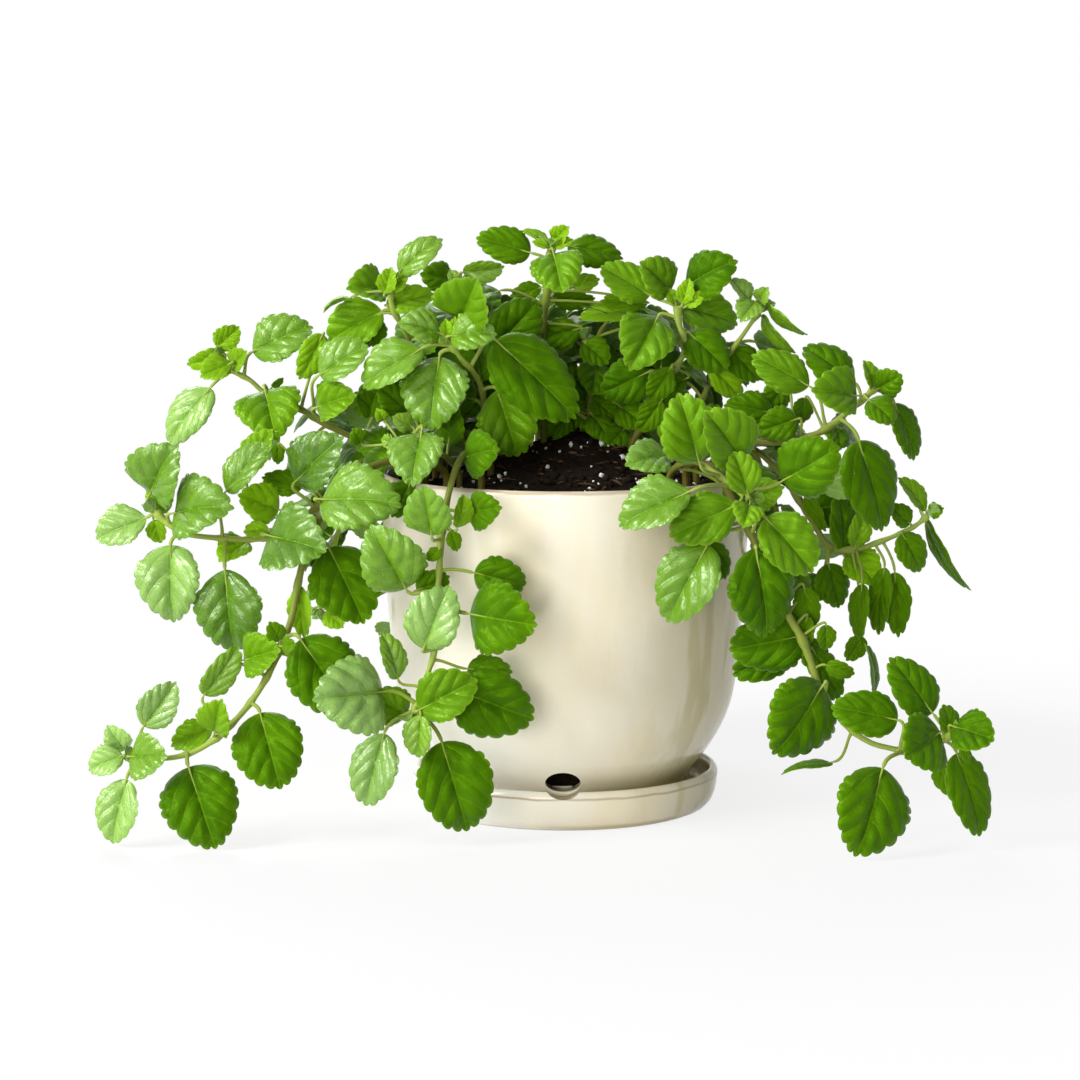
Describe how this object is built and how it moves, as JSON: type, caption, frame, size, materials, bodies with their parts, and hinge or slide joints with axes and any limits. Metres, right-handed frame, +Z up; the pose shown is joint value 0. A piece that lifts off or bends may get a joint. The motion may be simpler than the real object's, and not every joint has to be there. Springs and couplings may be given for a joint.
{
  "type": "potted swedish ivy",
  "caption": "Bushy trailing house plant with scalloped round leaves, rooted in a cream glazed pot with an attached drip saucer.",
  "frame": {"origin": "centre of the saucer's underside, on the surface that the pot stands on", "axes": "+Z up along the pot's axis, +X to the right, -Y to the front, where the drain hole is"},
  "size_m": [0.3927, 0.2827, 0.2655],
  "materials": {
    "glaze": "glossy cream glaze with a faint brown line at rim and foot",
    "soil": "matt dark potting soil with perlite grains",
    "foliage": "semi-glossy green leaves on paler stems"
  },
  "bodies": {
    "root": {"pot_with_saucer": "glaze", "soil": "soil", "back_shoot_1": "foliage", "back_shoot_2": "foliage", "back_shoot_3": "foliage", "back_shoot_4": "foliage", "back_trailer_1": "foliage", "back_trailer_2": "foliage", "back_trailer_3": "foliage", "back_trailer_4": "foliage", "back_trailer_5": "foliage", "centre_shoot": "foliage", "far_right_trailer": "foliage", "front_left_shoot": "foliage", "front_left_trailer": "foliage", "front_rosette": "foliage", "left_back_trailer": "foliage", "left_branch": "foliage", "lower_left_runner": "foliage", "lower_right_runner": "foliage", "right_back_trailer": "foliage", "right_branch": "foliage", "right_rosette": "foliage", "top_back_shoot": "foliage", "top_centre_branch": "foliage", "top_left_branch": "foliage", "top_right_rosette": "foliage", "upper_left_branch": "foliage", "upper_right_cluster": "foliage"}
  },
  "joints": []
}
